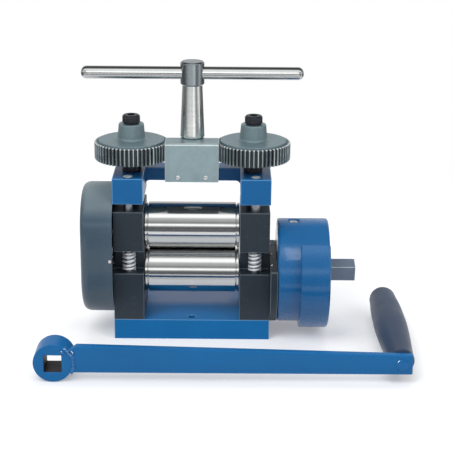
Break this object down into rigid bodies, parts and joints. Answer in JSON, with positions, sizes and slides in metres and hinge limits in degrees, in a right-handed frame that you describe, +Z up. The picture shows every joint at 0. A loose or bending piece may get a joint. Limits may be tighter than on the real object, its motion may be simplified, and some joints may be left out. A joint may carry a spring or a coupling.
{
  "type": "hand rolling mill",
  "caption": "Bench hand rolling mill: steel rolls in a bolted frame, geared screws under a T handle, reduction gearbox with square shaft, and a loose crank.",
  "frame": {"origin": "centre of the underside of the base", "axes": "+X along the rolls towards the drive shaft, +Y from the crank side to the back, +Z up"},
  "size_m": [0.3107, 0.1712, 0.2393],
  "materials": {
    "blue_paint": "smooth gloss enamel over cast and machined iron",
    "black_oxide": "ground and blackened, satin",
    "black_screw": "black oxide",
    "bronze": "turned",
    "bright_steel": "bright drawn",
    "spring_steel": "bright wire",
    "block_metal": "fine milled, satin",
    "slate_paint": "slate enamel with a soft sheen",
    "roll_steel": "ground and polished hardened steel",
    "shaft_steel": "milled steel",
    "gear_steel": "machined dark steel",
    "turned_steel": "turned, satin",
    "grip_plastic": "moulded, slightly glossy"
  },
  "bodies": {
    "frame": {"base": "blue_paint", "lower_block_left": "black_oxide", "lower_block_right": "black_oxide", "lower_bush_left": "bronze", "lower_bush_right": "bronze", "pillar_front_left": "bright_steel", "pillar_front_right": "bright_steel", "pillar_rear_left": "bright_steel", "pillar_rear_right": "bright_steel", "yoke": "blue_paint", "gear_block": "block_metal", "roll_gear_cover": "slate_paint", "gearbox_plate": "black_oxide", "gearbox_drum": "blue_paint", "gearbox_cover": "blue_paint", "oil_plug": "bright_steel", "spring_front_left": "spring_steel", "spring_front_right": "spring_steel", "spring_rear_left": "spring_steel", "spring_rear_right": "spring_steel"},
    "upper_carriage": {"upper_block_left": "black_oxide", "upper_block_right": "black_oxide", "upper_bush_left": "bronze", "upper_bush_right": "bronze"},
    "upper_roll": {"upper_roll": "roll_steel", "upper_roll_gear": "gear_steel"},
    "lower_roll": {"lower_roll": "roll_steel", "lower_roll_gear": "gear_steel"},
    "drive": {"drive_shaft": "shaft_steel"},
    "handle": {"handle_stem": "turned_steel", "handle_bar": "turned_steel", "handle_pinion": "gear_steel", "handle_collar": "bright_steel"},
    "gear_left": {"screw_gear_left": "gear_steel"},
    "gear_right": {"screw_gear_right": "gear_steel"},
    "screw_left": {"screw_left": "black_screw"},
    "screw_right": {"screw_right": "black_screw"},
    "crank": {"crank_hub": "blue_paint", "crank_arm": "blue_paint", "crank_pin": "bright_steel"},
    "grip": {"crank_grip": "grip_plastic"}
  },
  "joints": [
    {"name": "carriage_lift", "type": "slide", "parent": "frame", "child": "upper_carriage", "axis": [0, 0, 1], "range_m": [0, 0.005], "deforming": ["spring_front_left", "spring_front_right", "spring_rear_left", "spring_rear_right"]},
    {"name": "upper_roll_spin", "type": "hinge", "parent": "upper_carriage", "child": "upper_roll", "pos_m": [0, -0.013, 0.096], "axis": [1, 0, 0], "continuous": true},
    {"name": "lower_roll_spin", "type": "hinge", "parent": "frame", "child": "lower_roll", "pos_m": [0, -0.013, 0.0555], "axis": [1, 0, 0], "continuous": true},
    {"name": "drive_spin", "type": "hinge", "parent": "frame", "child": "drive", "pos_m": [0.13, -0.013, 0.0555], "axis": [1, 0, 0], "continuous": true},
    {"name": "handle_turn", "type": "hinge", "parent": "frame", "child": "handle", "pos_m": [0, -0.013, 0.2], "axis": [0, 0, 1], "range_deg": [-1278.9, 0]},
    {"name": "gear_left_turn", "type": "hinge", "parent": "frame", "child": "gear_left", "pos_m": [-0.05175, -0.013, 0.16], "axis": [0, 0, 1], "range_deg": [0, 900]},
    {"name": "gear_right_turn", "type": "hinge", "parent": "frame", "child": "gear_right", "pos_m": [0.05175, -0.013, 0.16], "axis": [0, 0, 1], "range_deg": [0, 900]},
    {"name": "screw_left_rise", "type": "slide", "parent": "gear_left", "child": "screw_left", "axis": [0, 0, 1], "range_m": [0, 0.005]},
    {"name": "screw_right_rise", "type": "slide", "parent": "gear_right", "child": "screw_right", "axis": [0, 0, 1], "range_m": [0, 0.005]},
    {"name": "crank_lift_off", "type": "slide", "parent": "frame", "child": "crank", "axis": [0, 0, 1], "range_m": [0, 0.06]},
    {"name": "grip_spin", "type": "hinge", "parent": "crank", "child": "grip", "pos_m": [0.1713, -0.1, 0.0168], "axis": [0, 1, 0], "continuous": true}
  ],
  "couplings": [
    {"joint": "gear_left_turn", "follows": "handle_turn", "ratio": -0.7037},
    {"joint": "gear_right_turn", "follows": "handle_turn", "ratio": -0.7037},
    {"joint": "screw_left_rise", "follows": "handle_turn", "m_per_rad": -0.000224},
    {"joint": "screw_right_rise", "follows": "handle_turn", "m_per_rad": -0.000224},
    {"joint": "carriage_lift", "follows": "handle_turn", "m_per_rad": -0.000224},
    {"joint": "upper_roll_spin", "follows": "lower_roll_spin", "ratio": -1},
    {"joint": "drive_spin", "follows": "lower_roll_spin", "ratio": 5}
  ]
}
